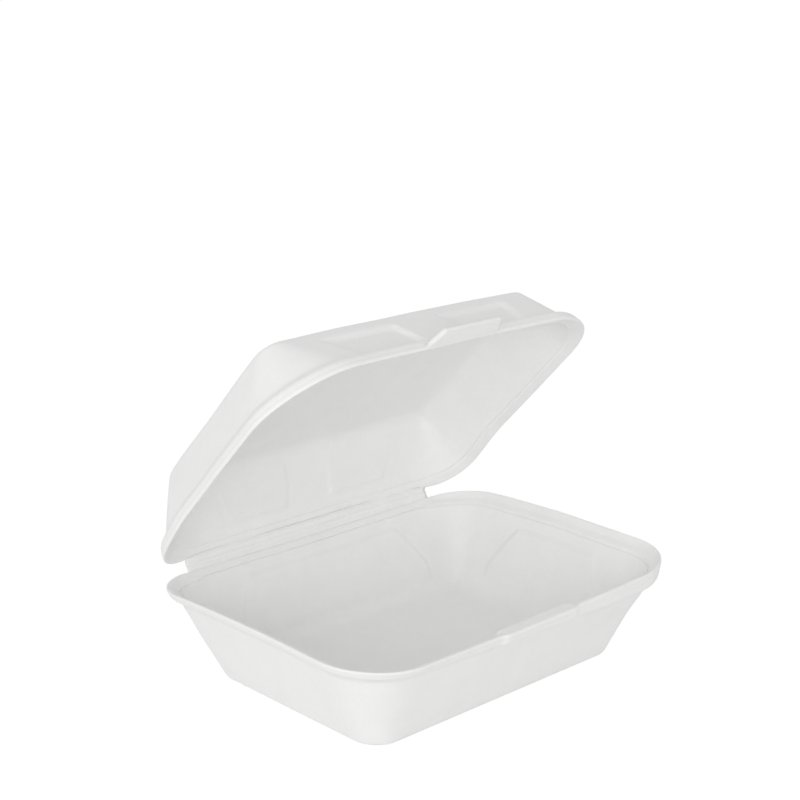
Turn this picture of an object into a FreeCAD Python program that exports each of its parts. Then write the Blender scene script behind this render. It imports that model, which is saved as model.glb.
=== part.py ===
# Foam clamshell container: one moulded white foam sheet, split only along its hinge crease
# so that the lid can turn.
#
# Row frame: +Z up, X along the hinge, the hinge at the back (+Y), the closing tab at the
# front (-Y). The origin is the centre of the base's flat underside. Millimetres.
#
# The lid is drawn closed, in a frame whose origin is the middle of the hinge crease, and its
# Placement turns it open about that crease.

import FreeCAD, Part
import math
import os
import re

import Sketcher
from FreeCAD import Placement, Rotation, Vector

doc = FreeCAD.newDocument("foam_clamshell")

SIZES = [
    # rim of the base: its plan and its height over the table
    ("rim_width", 185.0),
    ("rim_depth", 131.0),
    ("rim_front_radius", 27.0),
    ("rim_back_radius", 21.0),
    ("base_height", 40.7),
    # flat underside of the base
    ("bottom_width", 138.0),
    ("bottom_depth", 91.0),
    ("bottom_radius", 10.0),
    ("bottom_shift", 0.2),
    ("bottom_edge_radius", 6.5),
    # foam: the floor and the top are this thick, and the inner wall starts this far in
    ("floor_foam", 2.6),
    ("floor_inset", 1.7),
    ("inner_edge_radius", 6.0),
    # rim section, the same on base and lid
    ("rim_face", 4.6),
    ("rim_draft", 1.2),
    ("rim_flare", 2.6),
    ("rim_overhang", 5.6),
    ("rim_land", 1.2),
    ("flange_width", 6.5),
    ("flange_drop", 2.6),
    # lid
    ("lid_width", 179.0),
    ("lid_depth", 131.0),
    ("lid_front_radius", 34.0),
    ("lid_back_radius", 21.0),
    ("lid_height", 28.5),
    ("lid_top_width", 143.5),
    ("lid_top_depth", 92.0),
    ("lid_top_radius", 8.0),
    ("lid_top_shift", 0.2),
    ("lid_edge_radius", 5.0),
    ("lid_clearance", 0.4),
    ("open_angle", 49.0),
    # hinge crease and the two webs that meet at it
    ("crease_setback", 2.7),
    ("crease_drop", 2.1),
    ("web_width", 140.0),
    ("web_foam", 1.0),
    ("web_overlap", 1.5),
    ("crease_foam", 0.3),
    ("crease_gap", 1.2),
    # closing tab on the lid and the ledge that it lies over
    ("tab_root_width", 39.0),
    ("tab_tip_width", 31.0),
    ("tab_length", 9.0),
    ("tab_foam", 2.4),
    ("ledge_width", 44.0),
    ("ledge_inset", 5.0),
    ("ledge_reach", 1.8),
    ("ledge_foam", 4.0),
    ("ledge_slant", 3.0),
]

sizes = doc.addObject("Spreadsheet::Sheet", "sizes")
for row, (alias, value) in enumerate(SIZES, start=1):
    sizes.set("A%d" % row, alias)
    sizes.set("B%d" % row, str(value))
    sizes.setAlias("B%d" % row, alias)
doc.recompute()


def cell(text):
    """The expression with each word that names a size changed to that size's cell."""
    names = dict(SIZES)
    return re.sub(r"[a-z_]+", lambda word: "sizes." * (word[0] in names) + word[0], text)


def number(text):
    """The value that an expression of sizes has now, to start a sketch near its solution."""
    return float(sizes.evalExpression(cell(text)))


def bind(thing, path, text):
    thing.setExpression(path, cell(text))


def new_sketch(body, name, role, offsets):
    """A sketch on one of the body's own origin planes, moved by the expressions in offsets."""
    planes = [plane for plane in body.Origin.OriginFeatures if plane.Role == role]
    sketch = body.newObject("Sketcher::SketchObject", name)
    sketch.AttachmentSupport = [(planes[0], "")]
    sketch.MapMode = "FlatFace"
    for axis, text in offsets.items():
        bind(sketch, "AttachmentOffset.Base." + axis, text)
    return sketch


def dimension(sketch, kind, places, text):
    """A dimensional constraint bound to an expression of sizes."""
    index = sketch.addConstraint(Sketcher.Constraint(kind, *places, number(text)))
    bind(sketch, "Constraints[%d]" % index, text)


def rounded_outline(body, name, level, middle, width, depth, front, back):
    """A rounded rectangle on a level plane: four sides and four corner arcs, which all meet
    tangent. front and back are the corner radii, middle is the outline's centre along Y."""
    sketch = new_sketch(body, name, "XY_Plane", {"y": middle, "z": level})
    w = number(width) / 2
    d = number(depth) / 2
    f = number(front)
    b = number(back)
    up = Vector(0, 0, 1)
    corners = [(w - f, -d + f, f, 270), (w - b, d - b, b, 0), (-w + b, d - b, b, 90), (-w + f, -d + f, f, 180)]
    sides = [(-w + f, -d, w - f, -d), (w, -d + f, w, d - b), (w - b, d, -w + b, d), (-w, d - b, -w, -d + f)]
    for (x0, y0, x1, y1), (x, y, radius, start) in zip(sides, corners):
        sketch.addGeometry(Part.LineSegment(Vector(x0, y0, 0), Vector(x1, y1, 0)))
        circle = Part.Circle(Vector(x, y, 0), up, radius)
        sketch.addGeometry(Part.ArcOfCircle(circle, math.radians(start), math.radians(start + 90)))
    front_side, right, back_side, left = 0, 2, 4, 6
    for side in (front_side, right, back_side, left):
        sketch.addConstraint(Sketcher.Constraint("Tangent", side, 2, side + 1, 1))
        sketch.addConstraint(Sketcher.Constraint("Tangent", side + 1, 2, (side + 2) % 8, 1))
    sketch.addConstraint(Sketcher.Constraint("Vertical", right))
    sketch.addConstraint(Sketcher.Constraint("Horizontal", back_side))
    sketch.addConstraint(Sketcher.Constraint("Vertical", left))
    sketch.addConstraint(Sketcher.Constraint("Symmetric", front_side, 1, front_side, 2, -2))
    sketch.addConstraint(Sketcher.Constraint("Equal", 1, 7))
    sketch.addConstraint(Sketcher.Constraint("Equal", 3, 5))
    dimension(sketch, "Radius", (1,), front)
    dimension(sketch, "Radius", (3,), back)
    dimension(sketch, "DistanceX", (-1, 1, right, 1), "(" + width + ") / 2")
    dimension(sketch, "DistanceY", (front_side, 1, -1, 1), "(" + depth + ") / 2")
    dimension(sketch, "DistanceY", (-1, 1, back_side, 1), "(" + depth + ") / 2")
    return sketch


def loft(body, kind, name, sections):
    """A ruled loft through level outlines, added to the body or cut out of it. A wall whose
    edges are rounded later runs from its higher outline down, which turns its faces outward."""
    feature = body.newObject("PartDesign::" + kind, name)
    feature.Profile = sections[0]
    feature.Sections = sections[1:]
    feature.Ruled = True
    doc.recompute()
    return feature


def shell(body, side, middle, width, depth, front, back, rim, up, end):
    """The pressed foam pan of the base or of the lid, from its flat end to its rim.

    rim is the level of the rim's open side and up is the sign from the rim to the flat end.
    end holds the expressions of the flat end: level, middle, width, depth, radius, edge.
    """

    def level(text):
        return rim + (" + " if up > 0 else " - ") + "(" + text + ")"

    def around(name, height, inset):
        both = " - 2 * (" + inset + ")"
        return rounded_outline(body, side + name, level(height), middle, width + both, depth + both,
                               front + " - (" + inset + ")", back + " - (" + inset + ")")

    def flat(name, height, inset):
        both = " - 2 * (" + inset + ")"
        return rounded_outline(body, side + name, height, end["middle"], end["width"] + both,
                               end["depth"] + both, end["radius"], end["radius"])

    inward = " - " if up > 0 else " + "
    flat_inside = end["level"] + inward + "floor_foam"
    wall_top = around("_wall_top", "rim_face + rim_flare", "rim_overhang")
    flange_root = around("_flange_root", "flange_drop", "flange_width")
    walls = [wall_top, flat("_flat_outside", end["level"], "0")]
    if up > 0:
        walls.reverse()
    loft(body, "AdditiveLoft", side + "_wall", walls)
    round_edges(body, side + "_outer_edge", end["level"], end["edge"])
    rim_sections = [wall_top, around("_rim_foot", "rim_face", "rim_draft"), around("_rim", "0", "0")]
    loft(body, "AdditiveLoft", side + "_rim_bead", rim_sections)
    before = body.Shape.Volume
    loft(body, "SubtractiveLoft", side + "_flange", [around("_flange_edge", "0", "rim_land"), flange_root])
    loft(body, "SubtractiveLoft", side + "_hollow", [flange_root, flat("_flat_inside", flat_inside, "floor_inset")])
    assert body.Shape.Volume < 0.5 * before, side + " has no hollow"
    round_edges(body, side + "_inner_edge", flat_inside, "inner_edge_radius")


def round_edges(body, name, level, radius):
    """A fillet on all the edges of the body that lie in one level plane."""
    height = number(level)
    tip = body.Tip
    edges = []
    for index, edge in enumerate(tip.Shape.Edges, start=1):
        box = edge.BoundBox
        if abs(box.ZMin - height) < 1e-4 and abs(box.ZMax - height) < 1e-4:
            edges.append("Edge%d" % index)
    fillet = body.newObject("PartDesign::Fillet", name)
    fillet.Base = (tip, edges)
    bind(fillet, "Radius", radius)
    doc.recompute()


def strip(body, name, role, offsets, corners, length, reversed_way=False, midplane=False):
    """A pad of a polygon whose corners are pairs of expressions."""
    sketch = new_sketch(body, name + "_sketch", role, offsets)
    points = [Vector(number(x), number(y), 0) for x, y in corners]
    count = len(points)
    for index in range(count):
        sketch.addGeometry(Part.LineSegment(points[index], points[(index + 1) % count]))
    for index in range(count):
        sketch.addConstraint(Sketcher.Constraint("Coincident", index, 2, (index + 1) % count, 1))
    for index, (x, y) in enumerate(corners):
        place(sketch, "DistanceX", index, x)
        place(sketch, "DistanceY", index, y)
    pad = body.newObject("PartDesign::Pad", name)
    pad.Profile = sketch
    bind(pad, "Length", length)
    pad.Midplane = midplane
    pad.Reversed = reversed_way
    doc.recompute()
    return pad


def place(sketch, kind, index, text):
    """Holds the start of one line of a sketch at a signed distance from the origin."""
    if abs(number(text)) < 1e-9:
        sketch.addConstraint(Sketcher.Constraint("PointOnObject", index, 1, -2 if kind == "DistanceX" else -1))
    else:
        dimension(sketch, kind, (-1, 1, index, 1), text)

def build_base():
    body = doc.addObject("PartDesign::Body", "base_tray")
    end = {
        "level": "0",
        "middle": "bottom_shift",
        "width": "bottom_width",
        "depth": "bottom_depth",
        "radius": "bottom_radius",
        "edge": "bottom_edge_radius",
    }
    shell(body, "base", "0", "rim_width", "rim_depth", "rim_front_radius", "rim_back_radius",
          "base_height", -1, end)

    # the ledge fills the sloping flange at the middle of the front and stands out past the rim
    front = "-rim_depth / 2 - ledge_reach"
    root = "-rim_depth / 2 + ledge_inset"
    tip = "ledge_width / 2 - ledge_slant"
    corners = [("-(" + tip + ")", front), (tip, front), ("ledge_width / 2", root), ("-ledge_width / 2", root)]
    strip(body, "ledge", "XY_Plane", {"z": "base_height"}, corners, "ledge_foam", reversed_way=True)

    # the base's web: level, from the back of the rim to the crease, and thin at the crease
    crease = "base_height - crease_drop"
    near = "rim_depth / 2 - web_overlap"
    far = "rim_depth / 2 + crease_setback - crease_gap / 2"
    corners = [
        (near, crease + " - web_foam / 2"),
        (far, crease + " - crease_foam / 2"),
        (far, crease + " + crease_foam / 2"),
        (near, crease + " + web_foam / 2"),
    ]
    strip(body, "base_web", "YZ_Plane", {}, corners, "web_width", midplane=True)
    return body


def build_lid():
    """The lid, closed, about the crease: its rim lies just over the base's rim."""
    body = doc.addObject("PartDesign::Body", "lid")
    rim = "crease_drop + lid_clearance"
    middle = "-crease_setback - lid_depth / 2"
    end = {
        "level": rim + " + lid_height",
        "middle": middle + " + lid_top_shift",
        "width": "lid_top_width",
        "depth": "lid_top_depth",
        "radius": "lid_top_radius",
        "edge": "lid_edge_radius",
    }
    shell(body, "lid", middle, "lid_width", "lid_depth", "lid_front_radius", "lid_back_radius",
          rim, 1, end)

    # the tab: a tapered tongue out of the middle of the lid's front rim
    front = "-crease_setback - lid_depth"
    tip = front + " - tab_length"
    root = front + " + rim_land"
    corners = [
        ("-tab_tip_width / 2", tip),
        ("tab_tip_width / 2", tip),
        ("tab_root_width / 2", root),
        ("-tab_root_width / 2", root),
    ]
    strip(body, "tab", "XY_Plane", {"z": rim}, corners, "tab_foam")

    # the lid's web rises from the crease to the back of the lid's rim, beside its face
    lean = "atan((" + rim + " + web_foam) / crease_setback)"
    along = "sqrt((" + rim + " + web_foam)^2 + crease_setback^2) + web_overlap"
    corners = []
    for distance, half in [("crease_gap / 2", "crease_foam / 2"), (along, "web_foam / 2")]:
        for sign in (" - ", " + ") if distance != along else (" + ", " - "):
            across = "(" + half + ")"
            y = "-(" + distance + ") * cos(" + lean + ")" + sign + across + " * sin(" + lean + ")"
            z = "(" + distance + ") * sin(" + lean + ")" + sign + across + " * cos(" + lean + ")"
            corners.append((y, z))
    strip(body, "lid_web", "YZ_Plane", {}, corners, "web_width", midplane=True)

    # turned open about the crease
    bind(body, "Placement.Base.y", "rim_depth / 2 + crease_setback")
    bind(body, "Placement.Base.z", "base_height - crease_drop")
    body.Placement = Placement(body.Placement.Base, Rotation(Vector(-1, 0, 0), 1))
    bind(body, "Placement.Rotation.Angle", "open_angle")
    doc.recompute()
    return body


bodies = [build_base(), build_lid()]
doc.recompute()

for thing in doc.Objects:
    if "Invalid" in thing.State or "Error" in thing.State:
        raise RuntimeError(thing.Name + " did not rebuild: " + ", ".join(thing.State))
os.makedirs("parts", exist_ok=True)
for body in bodies:
    body.Label = body.Name
    if body.Shape.isNull() or not body.Shape.isValid() or len(body.Shape.Solids) != 1:
        raise RuntimeError(body.Label + " is not one valid solid")
for body in bodies:
    body.Shape.exportStep("parts/" + body.Label + ".step")
    box = body.Shape.BoundBox
    print("%s: %.1f cm3, %.1f x %.1f x %.1f mm" % (body.Label, body.Shape.Volume / 1000, box.XLength, box.YLength, box.ZLength))
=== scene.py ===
# Foam clamshell container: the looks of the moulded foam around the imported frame.
# Row frame: metres, +Z up, the hinge at the back (+Y), the closing tab at the front (-Y).

import math

import bmesh
import bpy
from mathutils import Matrix, Vector, noise


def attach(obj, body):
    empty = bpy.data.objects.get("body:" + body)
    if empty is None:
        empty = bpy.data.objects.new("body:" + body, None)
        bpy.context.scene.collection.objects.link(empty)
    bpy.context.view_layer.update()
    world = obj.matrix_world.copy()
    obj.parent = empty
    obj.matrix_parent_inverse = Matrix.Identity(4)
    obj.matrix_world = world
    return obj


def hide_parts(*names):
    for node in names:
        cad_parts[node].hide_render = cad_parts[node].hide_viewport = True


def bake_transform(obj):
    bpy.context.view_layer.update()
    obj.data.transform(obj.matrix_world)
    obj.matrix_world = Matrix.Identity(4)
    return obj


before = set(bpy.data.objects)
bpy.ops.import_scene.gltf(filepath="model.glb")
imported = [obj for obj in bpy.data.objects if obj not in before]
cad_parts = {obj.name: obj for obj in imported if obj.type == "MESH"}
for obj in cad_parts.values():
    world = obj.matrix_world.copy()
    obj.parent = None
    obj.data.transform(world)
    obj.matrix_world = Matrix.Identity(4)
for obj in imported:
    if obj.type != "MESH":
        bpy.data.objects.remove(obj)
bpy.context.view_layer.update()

MM = 0.001

# Plan of the base's rim and of its flat underside. Sizes below are in millimetres.
BASE_RIM = {"width": 185.0, "depth": 131.0, "front": 27.0, "back": 21.0, "middle": 0.0}
BASE_FLAT = {"width": 140.0, "depth": 93.0, "front": 11.0, "back": 11.0, "middle": 0.2}
BASE_HEIGHT = 40.7

# The lid is drawn closed about its hinge crease, then turned open.
LID_RIM = {"width": 179.0, "depth": 131.0, "front": 34.0, "back": 21.0, "middle": -68.2}
LID_FLAT = {"width": 143.5, "depth": 92.0, "front": 8.0, "back": 8.0, "middle": -68.0}
LID_HEIGHT = 28.5
LID_RIM_LEVEL = 2.5
CREASE = Vector((0.0, 68.2, 38.6))
OPEN_ANGLE = 49.0

# Section of the rim, the same on base and lid: the bead stands out round the wall, and a
# flange slopes down from its narrow land to a groove at the inner wall.
RIM_FACE = 4.6
RIM_FLARE = 2.6
RIM_OVERHANG = 5.6
RIM_LAND = 1.2
FLANGE_WIDTH = 6.5
FLANGE_DROP = 2.6
FLOOR_FOAM = 2.6
FLOOR_INSET = 1.7

BASE_GROOVE = 0.8
LID_GROOVE = 0.3
# The flange's width beside the hinge, and how much tighter the corners are round the floor
# inside than round the flat outside.
BASE_HINGE_FLANGE = 3.7
LID_HINGE_FLANGE = 3.0
INNER_CORNER = 6.0
# How far the edges between wall and flat are rounded, outside and inside.
BASE_ROUNDING = (1.8, 5.0)
LID_ROUNDING = (2.4, 4.5)
FLAT_MIDDLE_INSET = 38.0
RIM_BOW = 1.7

LEDGE_STANDS_OUT = 1.2
LEDGE_FLANGE = 4.9
TAB_HALF_ROOT = 19.5
TAB_HALF_TIP = 15.5
TAB_STEPS = (2.0, 3.0, 3.0, 1.0)
WEB_HALF = 69.0
WEB_THICKNESS = 0.7

# Panels pressed in the walls: the wall, where the panel begins and ends to each side of the
# wall's middle, and how much wider it grows per millimetre of depth.
BASE_PANELS = (("long", 0.0, 42.7, 0.65), ("short", 0.0, 21.5, 0.5))
LID_PANELS = (("long", 12.0, 44.0, 0.4),)
# Relief of the panels on the outer skin and on the inner one, the depth of their top line, and
# the depths between which they die out.
BASE_RELIEF = (0.0, 0.9)
LID_RELIEF = (2.2, 0.7)
BASE_PANEL_TOP = 7.8
LID_PANEL_TOP = 6.3
BASE_PANEL_FADE = (28.0, 34.0)
LID_PANEL_FADE = (19.0, 23.0)
PANEL_SPREAD_DEPTH = 18.0

CORNER_STEPS = 16
LONG_SIDE_CUTS = 150
SHORT_SIDE_CUTS = 96
SECTION_STEP = 0.95
FLAT_STEP = 5.0

# Slight waves of the sheet: how strong, how long, and where each piece's pattern starts.
WAVE = 0.3
WAVE_LENGTH = 30.0
BASE_WAVE_SEED = 3.0
LID_WAVE_SEED = 8.0

# Light: the world's share, and each lamp's name, place in metres and power.
FILL_LIGHT = 0.66
FLOOR_GLOW = 0.88
LAMPS = (("left", (-1.9, 0.2, 0.35), 4.5),
         ("front_left", (-1.5, -1.2, 0.4), 11.9),
         ("front", (0.1, -1.9, 0.35), 2.5))
LAMP_AIM = (0, 0, 0.08)
LAMP_SIZE = 1.3

# The photograph's view, solved from its outlines: degrees, and metres from the target.
VIEW_AZIMUTH = -45.06
VIEW_ELEVATION = 16.97
VIEW_ROLL = 1.58
VIEW_TARGET = Vector((0.18551, 0.20063, 0.02921))
VIEW_DISTANCE = 1.05815
VIEW_LENS = 87.67


# ---- foam pans

def section(outline, level, inset, skin):
    """One level outline of a pan: half sizes, corner radii, middle, level, and 0 for the
    outer skin or 1 for the inner one."""
    return [outline["width"] / 2 - inset, outline["depth"] / 2 - inset,
            max(outline["front"] - inset, 0.8), max(outline["back"] - inset, 0.8),
            outline["middle"], level, skin]


def mixed(first, second, share):
    return [a + (b - a) * share for a, b in zip(first, second)]


def apart(first, second):
    return math.hypot(first[0] - second[0], first[5] - second[5])


def rounded_profile(corners):
    """The sections between the corners of a pan's profile. Each corner is rounded off over
    its reach, and the long runs are divided."""
    sections = [corners[0][0]]
    for (before, _), (corner, reach), (after, _) in zip(corners, corners[1:], corners[2:]):
        if reach == 0:
            sections.append(corner)
            continue
        start = mixed(corner, before, min(reach / apart(corner, before), 0.5))
        end = mixed(corner, after, min(reach / apart(corner, after), 0.5))
        steps = max(3, round(1.6 * reach))
        for step in range(steps + 1):
            share = step / steps
            sections.append(mixed(mixed(start, corner, share), mixed(corner, end, share), share))
    sections.append(corners[-1][0])
    divided = [sections[0]]
    for near, far in zip(sections, sections[1:]):
        level_run = near[5] == far[5] and apart(near, far) > 2 * FLAT_STEP
        parts = max(1, math.ceil(apart(near, far) / (FLAT_STEP if level_run else SECTION_STEP)))
        divided += [mixed(near, far, part / parts) for part in range(1, parts + 1)]
    return divided


def unit_ring(bm, plan):
    """A closed loop of edges round a square with round corners: each side runs from -1 to 1
    between corner arcs of radius 1. Every vertex keeps that place in the plan layer."""
    corners = [bm.verts.new((2 * x, 2 * y, 0)) for x, y in ((-1, -1), (1, -1), (1, 1), (-1, 1))]
    bm.faces.new(corners)
    bmesh.ops.bevel(bm, geom=corners, offset=1.0, offset_type="OFFSET", segments=CORNER_STEPS,
                    profile=0.5, affect="VERTICES", clamp_overlap=False, material=-1)
    for side in [edge for edge in bm.edges if edge.calc_length() > 1.5]:
        along_x = abs(side.verts[0].co.x - side.verts[1].co.x) > 1.0
        cuts = LONG_SIDE_CUTS if along_x else SHORT_SIDE_CUTS
        bmesh.ops.subdivide_edges(bm, edges=[side], cuts=cuts)
    bmesh.ops.delete(bm, geom=bm.faces[:], context="FACES_ONLY")
    for vert in bm.verts:
        vert[plan] = vert.co
    return bm.edges[:]


def place_ring(verts, plan, skin, outline):
    """Moves a ring's vertices onto a section's outline."""
    half_x, half_y, front, back, middle, level, side = outline
    for vert in verts:
        x, y = vert[plan].x, vert[plan].y
        along_x = min(max(x, -1.0), 1.0)
        along_y = min(max(y, -1.0), 1.0)
        radius = front if y < 0 else back
        low, high = front - half_y, half_y - back
        vert.co.x = along_x * (half_x - radius) + (x - along_x) * radius
        vert.co.y = middle + low + (along_y + 1) / 2 * (high - low) + (y - along_y) * radius
        vert.co.z = level
        vert[skin] = side


def pan(rim, flat, rim_level, flat_level, rounding, groove):
    """A pressed foam pan, extruded section by section from the middle of its flat outside,
    up the wall and over the rim, and down to the middle of its inside."""
    away = 1 if flat_level > rim_level else -1

    def on_rim(drop, inset, skin):
        return section(rim, rim_level + away * drop, inset, skin)

    def on_flat(depth, inset, skin):
        return section(flat, flat_level - away * depth, inset, skin)

    def on_floor(inset):
        inside = dict(flat, front=flat["front"] - INNER_CORNER, back=flat["back"] - INNER_CORNER)
        return section(inside, flat_level - away * FLOOR_FOAM, inset, 1)

    corners = [
        (on_flat(0.0, FLAT_MIDDLE_INSET, 0), 0),
        (on_flat(0.0, 0.0, 0), rounding[0]),
        (on_rim(RIM_FACE + RIM_FLARE, RIM_OVERHANG, 0), 1.8),
        (on_rim(RIM_FACE, 1.5, 0), 1.0),
        (on_rim(2.6, 0.75, 0), 0),
        (on_rim(2.4, 0.82, 0), 0),
        (on_rim(2.2, 0.66, 0), 0),
        (on_rim(1.0, 0.2, 0), 0.4),
        (on_rim(0.0, 0.3, 0), 0.5),
        (on_rim(0.0, RIM_LAND + 0.1, 0), 0.4),
        (on_rim(FLANGE_DROP - 0.7, FLANGE_WIDTH - 1.7, 1), 0.2),
        (on_rim(FLANGE_DROP + groove, FLANGE_WIDTH - 0.9, 1), 0.3),
        (on_rim(FLANGE_DROP, FLANGE_WIDTH, 1), 0.5),
        (on_floor(FLOOR_INSET), rounding[1]),
        (on_floor(FLAT_MIDDLE_INSET), 0),
    ]
    sections = rounded_profile(corners)
    bm = bmesh.new()
    plan = bm.verts.layers.float_vector.new("plan")
    skin = bm.verts.layers.float.new("skin")
    edges = unit_ring(bm, plan)
    first_edges = edges
    place_ring(bm.verts, plan, skin, sections[0])
    for outline in sections[1:]:
        grown = bmesh.ops.extrude_edge_only(bm, edges=edges)["geom"]
        verts = {item for item in grown if isinstance(item, bmesh.types.BMVert)}
        edges = [item for item in grown if isinstance(item, bmesh.types.BMEdge)
                 and item.verts[0] in verts and item.verts[1] in verts]
        place_ring(verts, plan, skin, outline)
    bmesh.ops.edgeloop_fill(bm, edges=first_edges)
    bmesh.ops.edgeloop_fill(bm, edges=edges)
    bmesh.ops.recalc_face_normals(bm, faces=bm.faces)
    return bm, plan, skin


# ---- shaping of the pressed foam

def ramp(value, start, end):
    """0 before start, 1 after end, smooth between."""
    t = min(max((value - start) / (end - start), 0.0), 1.0)
    return t * t * (3 - 2 * t)


def bow_sides(bm, rim, rim_level, flat_level, bulge):
    """The rim's sides bulge outward in their middle, as thin walls do, and less lower down."""
    half_y = rim["depth"] / 2
    half_x = rim["width"] / 2
    for vert in bm.verts:
        height = (vert.co.z - flat_level) / (rim_level - flat_level)
        off = (vert.co.y - rim["middle"]) / half_y
        vert.co.x *= 1 - bulge / half_x * off * off * height


def raise_ledge(bm, skin):
    """The latch ledge: the middle of the front rim stands out, and its flange is filled."""
    front = -BASE_RIM["depth"] / 2
    for vert in bm.verts:
        x, y, z = vert.co
        depth = BASE_HEIGHT - z
        if y > front + 8 or depth > 8.5:
            continue
        middle = 1 - ramp(abs(x), 19.6, 23.0)
        inset = y - front
        outward = 1 - ramp(depth, RIM_FACE, RIM_FACE + RIM_FLARE)
        if vert[skin] > 0.01:
            outward = max(0.0, 1 - inset / FLANGE_WIDTH)
            if inset < FLANGE_WIDTH + 0.1:
                filled = ramp(inset, LEDGE_FLANGE, FLANGE_WIDTH) * FLANGE_DROP
                vert.co.z += middle * max(depth - filled, 0.0)
        vert.co.y -= middle * LEDGE_STANDS_OUT * outward


def press_panels(bm, plan, skin, rim, rim_level, panels, reliefs, top_line, fade):
    """Shallow panels in the walls: each stands towards the middle of the pan by the relief of
    the outer skin and of the inner one."""
    for vert in bm.verts:
        depth = abs(vert.co.z - rim_level)
        relief = reliefs[1] if vert[skin] > 0.5 else reliefs[0]
        if depth < top_line - 1 or relief == 0:
            continue
        spread = min(max(depth - top_line, 0.0), PANEL_SPREAD_DEPTH)
        high_part = ramp(depth, top_line - 0.6, top_line + 0.6) * (1 - ramp(depth, *fade))
        for wall, near, far, widening in panels:
            across = vert[plan].y if wall == "long" else vert[plan].x
            if abs(across) < 1.99:
                continue
            place = abs(vert.co.x) if wall == "long" else abs(vert.co.y - rim["middle"])
            end = far + widening * spread
            share = high_part * (1 - ramp(place, end - 0.7, end + 0.7))
            if near > 0:
                share *= ramp(place, near - 0.7, near + 0.7)
            move = -relief * share * math.copysign(1.0, across)
            if wall == "long":
                vert.co.y += move
            else:
                vert.co.x += move


def narrow_flange(bm, plan, skin, rim, rim_level, width):
    """Along the hinge the flange is narrower than round the other sides."""
    back = rim["middle"] + rim["depth"] / 2
    for vert in bm.verts:
        depth = abs(vert.co.z - rim_level)
        if vert[skin] < 0.01 or vert[plan].y < 1.0 or depth > 16:
            continue
        from_back = back - vert.co.y
        if from_back < FLANGE_WIDTH + 0.05 and depth > FLANGE_DROP and abs(vert.co.x) < 66:
            vert.co.z = rim_level + math.copysign(FLANGE_DROP, vert.co.z - rim_level)
        inset = min(max(from_back - RIM_LAND, 0.0) / (FLANGE_WIDTH - RIM_LAND), 1.0)
        share = inset * (1 - ramp(depth, 4.0, 16.0)) * (1 - ramp(abs(vert.co.x), 60.0, 74.0))
        vert.co.y += (FLANGE_WIDTH - width) * share


def deepen_front_bead(bm, skin):
    """The bead's face grows taller along the front towards the right corner."""
    for vert in bm.verts:
        depth = BASE_HEIGHT - vert.co.z
        if vert[skin] > 0.01 or depth > 24:
            continue
        taller = 2.6 * ramp(vert.co.x, -10.0, 50.0) * ramp(-vert.co.y, 35.0, 58.0)
        shorter = 1.3 * ramp(-vert.co.x, 20.0, 80.0)
        reach = ramp(depth, 0.0, RIM_FACE) * (1 - ramp(depth, RIM_FACE + RIM_FLARE, 24.0))
        vert.co.z += (shorter - taller) * reach


def lower_right_flange(bm, skin):
    """The flange falls deeper along the base's right side, which leaves room for the lid."""
    for vert in bm.verts:
        depth = BASE_HEIGHT - vert.co.z
        if vert[skin] > 0.01:
            share = ramp(vert.co.x, 55.0, 86.0) * min(depth / 0.5, 1.0)
            vert.co.z -= 2.2 * share * (1 - ramp(depth, 5.0, 22.0))


def base_sag(x, y):
    """How far the open base's rim stands off level: a slight lean and saddle."""
    across, along = x / 92.5, y / 65.5
    dip = 3.4 if along > 0 else 0.9
    level = 0.4 * across - 0.4 * across * along + 1.0 * across ** 2 - dip * along ** 2
    return level + 0.8 * ramp(across, 0.5, 1.0) * ramp(-along, 0.0, 0.8)


def lid_sag(x, y):
    """How far the open lid is out of flat, growing away from the hinge."""
    across, away = x / 92.5, -y / LID_RIM["depth"]
    level = -0.3 * across - (0.9 if across > 0 else 0.3) * across * away - 0.5 * across ** 2 * away
    far_corner = ramp(across, 0.55, 1.0) * ramp(away, 0.6, 1.0)
    hinge_corners = ramp(abs(across), 0.6, 1.0) * (1 - ramp(away, 0.0, 0.35))
    return level - 0.8 * far_corner - 3.4 * hinge_corners


def sag_base(bm):
    for vert in bm.verts:
        height = min(max(vert.co.z / BASE_HEIGHT, 0.0), 1.0)
        vert.co.z += height * base_sag(vert.co.x, vert.co.y)


def sag_lid(bm):
    for vert in bm.verts:
        vert.co.z += lid_sag(vert.co.x, vert.co.y)
        across = vert.co.x / 92.5
        vert.co.x += 0.6 * -vert.co.y / LID_RIM["depth"] + 0.9 * across + 0.3 * abs(across)


def unevenness(bm, seed, still_level=None):
    """The slight waves of a pressed foam sheet, dying out towards the still level."""
    noise.seed_set(1)
    shift = Vector((seed, seed * 0.7, -seed))
    for vert in bm.verts:
        share = 1.0 if still_level is None else ramp(abs(vert.co.z - still_level), 0.5, 12.0)
        vert.co += WAVE * share * noise.noise_vector(vert.co / WAVE_LENGTH + shift)


def finish_piece(bm, name, material, place):
    """The mesh in metres at its place, smooth, as an object at the origin."""
    bmesh.ops.transform(bm, matrix=place, verts=bm.verts)
    bmesh.ops.scale(bm, vec=(MM, MM, MM), verts=bm.verts)
    bmesh.ops.recalc_face_normals(bm, faces=bm.faces)
    for face in bm.faces:
        face.smooth = True
    mesh = bpy.data.meshes.new(name)
    bm.to_mesh(mesh)
    bm.free()
    piece = bpy.data.objects.new(name, mesh)
    bpy.context.scene.collection.objects.link(piece)
    mesh.materials.append(material)
    return piece


def lid_place():
    return Matrix.Translation(CREASE) @ Matrix.Rotation(math.radians(-OPEN_ANGLE), 4, "X")


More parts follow.
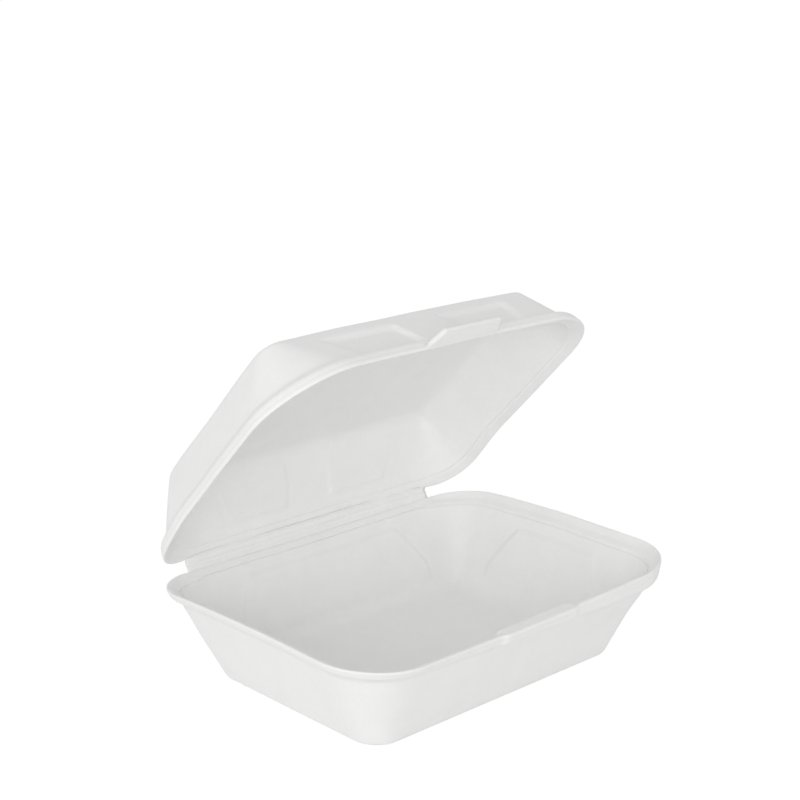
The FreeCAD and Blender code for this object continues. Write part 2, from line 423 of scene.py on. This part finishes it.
def base_shell(material):
    bm, plan, skin = pan(BASE_RIM, BASE_FLAT, BASE_HEIGHT, 0.0, BASE_ROUNDING, BASE_GROOVE)
    press_panels(bm, plan, skin, BASE_RIM, BASE_HEIGHT, BASE_PANELS, BASE_RELIEF, BASE_PANEL_TOP,
                 BASE_PANEL_FADE)
    narrow_flange(bm, plan, skin, BASE_RIM, BASE_HEIGHT, BASE_HINGE_FLANGE)
    raise_ledge(bm, skin)
    deepen_front_bead(bm, skin)
    lower_right_flange(bm, skin)
    bow_sides(bm, BASE_RIM, BASE_HEIGHT, 0.0, RIM_BOW)
    sag_base(bm)
    unevenness(bm, BASE_WAVE_SEED, still_level=0.0)
    piece = finish_piece(bm, "base_shell", material, Matrix.Identity(4))
    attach(piece, "base")
    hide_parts("base_tray")
    return piece


def pull_tab(bm):
    """The closing tab: part of the rim's front face drawn out into a tapered tongue."""
    front = LID_RIM["middle"] - LID_RIM["depth"] / 2
    faces = []
    for face in bm.faces:
        centre = face.calc_center_median()
        on_face = centre.y < front + 0.6 and abs(centre.x) < TAB_HALF_ROOT
        if on_face and LID_RIM_LEVEL + 0.2 < centre.z < LID_RIM_LEVEL + 2.0:
            faces.append(face)
    taper = (TAB_HALF_ROOT - TAB_HALF_TIP) / sum(TAB_STEPS)
    reach = 0.0
    for length in TAB_STEPS:
        grown = bmesh.ops.extrude_face_region(bm, geom=faces)["geom"]
        verts = [item for item in grown if isinstance(item, bmesh.types.BMVert)]
        faces = [item for item in grown if isinstance(item, bmesh.types.BMFace)]
        half = TAB_HALF_ROOT - taper * reach
        reach += length
        next_half = TAB_HALF_ROOT - taper * reach
        for vert in verts:
            vert.co.y = front - reach
            vert.co.x *= next_half / half


def lid_shell(material):
    flat_level = LID_RIM_LEVEL + LID_HEIGHT
    bm, plan, skin = pan(LID_RIM, LID_FLAT, LID_RIM_LEVEL, flat_level, LID_ROUNDING, LID_GROOVE)
    press_panels(bm, plan, skin, LID_RIM, LID_RIM_LEVEL, LID_PANELS, LID_RELIEF, LID_PANEL_TOP,
                 LID_PANEL_FADE)
    narrow_flange(bm, plan, skin, LID_RIM, LID_RIM_LEVEL, LID_HINGE_FLANGE)
    pull_tab(bm)
    bow_sides(bm, LID_RIM, LID_RIM_LEVEL, flat_level, RIM_BOW)
    sag_lid(bm)
    unevenness(bm, LID_WAVE_SEED)
    piece = finish_piece(bm, "lid_shell", material, lid_place())
    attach(piece, "lid")
    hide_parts("lid")
    return piece


def hinge_web(material):
    """The thin foam between the two rims, with the fine ridge of its fold."""
    open_lid = lid_place()
    off_web = Vector((0.0, -0.84, 0.55))

    def on_web(x, share):
        rim = BASE_HEIGHT + base_sag(x, 65.0)
        lift = LID_RIM_LEVEL + lid_sag(x, -3.0)
        points = [Vector((x, 63.9, rim - 0.35)), Vector((x, 65.2, rim + 0.1)),
                  open_lid @ Vector((x, -2.8, lift - 0.1)),
                  open_lid @ Vector((x, -4.2, lift + 0.3))]
        if share < 0.2:
            return points[0].lerp(points[1], share / 0.2)
        if share > 0.8:
            return points[2].lerp(points[3], (share - 0.8) / 0.2)
        sink = 0.15 * math.sin(math.pi * (share - 0.2) / 0.6)
        ridge = 0.4 * math.exp(-((share - 0.5) / 0.055) ** 2)
        return points[1].lerp(points[2], (share - 0.2) / 0.6) + off_web * (ridge - sink)

    bm = bmesh.new()
    bmesh.ops.create_grid(bm, x_segments=70, y_segments=40, size=1.0)
    for vert in bm.verts:
        vert.co = on_web(WEB_HALF * vert.co.x, (vert.co.y + 1) / 2)
    bmesh.ops.solidify(bm, geom=bm.faces[:], thickness=WEB_THICKNESS)
    piece = finish_piece(bm, "hinge_web", material, Matrix.Identity(4))
    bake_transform(piece)
    return piece


# ---- foam finish

def foam_finish():
    """White foam sheet: matt, faintly mottled by its cells."""
    material = bpy.data.materials.new("white_foam")
    material.use_nodes = True
    nodes, links = material.node_tree.nodes, material.node_tree.links
    shader = nodes["Principled BSDF"]
    shader.inputs["Specular IOR Level"].default_value = 0.3
    where = nodes.new("ShaderNodeTexCoord")

    cells = nodes.new("ShaderNodeTexNoise")
    cells.inputs["Scale"].default_value = 650.0
    cells.inputs["Detail"].default_value = 3.0
    clouds = nodes.new("ShaderNodeTexNoise")
    clouds.inputs["Scale"].default_value = 90.0
    clouds.inputs["Detail"].default_value = 4.0
    for texture in (cells, clouds):
        links.new(where.outputs["Object"], texture.inputs["Vector"])

    mottle = nodes.new("ShaderNodeMix")
    mottle.data_type = "FLOAT"
    mottle.inputs[0].default_value = 0.5
    links.new(cells.outputs["Fac"], mottle.inputs[2])
    links.new(clouds.outputs["Fac"], mottle.inputs[3])
    tint = nodes.new("ShaderNodeValToRGB")
    tint.color_ramp.elements[0].position = 0.3
    tint.color_ramp.elements[0].color = (0.895, 0.895, 0.889, 1)
    tint.color_ramp.elements[1].position = 0.7
    tint.color_ramp.elements[1].color = (0.930, 0.930, 0.925, 1)
    links.new(mottle.outputs[0], tint.inputs["Fac"])
    links.new(tint.outputs["Color"], shader.inputs["Base Color"])

    gloss = nodes.new("ShaderNodeMapRange")
    gloss.inputs["To Min"].default_value = 0.52
    gloss.inputs["To Max"].default_value = 0.70
    links.new(clouds.outputs["Fac"], gloss.inputs["Value"])
    links.new(gloss.outputs["Result"], shader.inputs["Roughness"])

    bump = nodes.new("ShaderNodeBump")
    bump.inputs["Strength"].default_value = 0.35
    bump.inputs["Distance"].default_value = 0.00012
    links.new(cells.outputs["Fac"], bump.inputs["Height"])
    links.new(bump.outputs["Normal"], shader.inputs["Normal"])
    return material


# ---- floor, light and camera

def seen_share(nodes, links):
    """1 for rays that show the floor or the backdrop in the picture, else 0."""
    path = nodes.new("ShaderNodeLightPath")
    total = path.outputs["Is Camera Ray"]
    for name in ("Is Glossy Ray", "Is Transmission Ray"):
        join = nodes.new("ShaderNodeMath")
        join.operation = "MAXIMUM"
        links.new(total, join.inputs[0])
        links.new(path.outputs[name], join.inputs[1])
        total = join.outputs[0]
    return total


def white_floor():
    bm = bmesh.new()
    bmesh.ops.create_grid(bm, x_segments=4, y_segments=4, size=3.0)
    mesh = bpy.data.meshes.new("floor")
    bm.to_mesh(mesh)
    bm.free()
    floor = bpy.data.objects.new("floor", mesh)
    bpy.context.scene.collection.objects.link(floor)
    material = bpy.data.materials.new("white_floor")
    material.use_nodes = True
    nodes, links = material.node_tree.nodes, material.node_tree.links
    nodes.remove(nodes["Principled BSDF"])
    paper = nodes.new("ShaderNodeBsdfDiffuse")
    paper.inputs["Color"].default_value = (0.9, 0.9, 0.9, 1)
    glow = nodes.new("ShaderNodeEmission")
    glow.inputs["Strength"].default_value = FLOOR_GLOW
    shade = nodes.new("ShaderNodeBsdfDiffuse")
    shade.inputs["Color"].default_value = (0.2, 0.2, 0.2, 1)
    shown = nodes.new("ShaderNodeAddShader")
    links.new(glow.outputs[0], shown.inputs[0])
    links.new(shade.outputs[0], shown.inputs[1])
    either = nodes.new("ShaderNodeMixShader")
    links.new(seen_share(nodes, links), either.inputs["Fac"])
    links.new(paper.outputs[0], either.inputs[1])
    links.new(shown.outputs[0], either.inputs[2])
    links.new(either.outputs[0], nodes["Material Output"].inputs["Surface"])
    mesh.materials.append(material)


def studio_world():
    world = bpy.data.worlds.new("studio")
    bpy.context.scene.world = world
    world.use_nodes = True
    nodes, links = world.node_tree.nodes, world.node_tree.links
    backdrop = nodes["Background"]
    backdrop.inputs["Color"].default_value = (1, 1, 1, 1)
    backdrop.inputs["Strength"].default_value = 1.0
    fill = nodes.new("ShaderNodeBackground")
    fill.inputs["Color"].default_value = (1, 1, 1, 1)
    fill.inputs["Strength"].default_value = FILL_LIGHT
    either = nodes.new("ShaderNodeMixShader")
    links.new(seen_share(nodes, links), either.inputs["Fac"])
    links.new(fill.outputs[0], either.inputs[1])
    links.new(backdrop.outputs[0], either.inputs[2])
    links.new(either.outputs[0], nodes["World Output"].inputs["Surface"])


def soft_lamp(name, place, power):
    lamp = bpy.data.lights.new(name, "AREA")
    lamp.shape = "SQUARE"
    lamp.size = LAMP_SIZE
    lamp.energy = power
    holder = bpy.data.objects.new(name, lamp)
    bpy.context.scene.collection.objects.link(holder)
    holder.location = place
    holder.rotation_euler = (Vector(LAMP_AIM) - Vector(place)).to_track_quat("-Z", "Y").to_euler()


def camera():
    """The photograph's view: from the front left, a little above, with a slight roll."""
    data = bpy.data.cameras.new("camera")
    holder = bpy.data.objects.new("camera", data)
    bpy.context.scene.collection.objects.link(holder)
    bpy.context.scene.camera = holder
    azimuth, elevation, roll = (math.radians(angle) for angle in (VIEW_AZIMUTH, VIEW_ELEVATION, VIEW_ROLL))
    back = Vector((math.sin(azimuth) * math.cos(elevation),
                   -math.cos(azimuth) * math.cos(elevation), math.sin(elevation)))
    turn = (-back).to_track_quat("-Z", "Y").to_matrix().to_4x4() @ Matrix.Rotation(roll, 4, "Z")
    holder.matrix_world = Matrix.Translation(VIEW_TARGET + back * VIEW_DISTANCE) @ turn
    data.sensor_width = 36.0
    data.lens = VIEW_LENS
    data.clip_start = 0.01
    data.clip_end = 20.0


foam = foam_finish()
base_shell(foam)
lid_shell(foam)
hinge_web(foam)

white_floor()
studio_world()
for side, place, power in LAMPS:
    soft_lamp(side, place, power)
camera()
bpy.context.scene.view_settings.view_transform = "Standard"
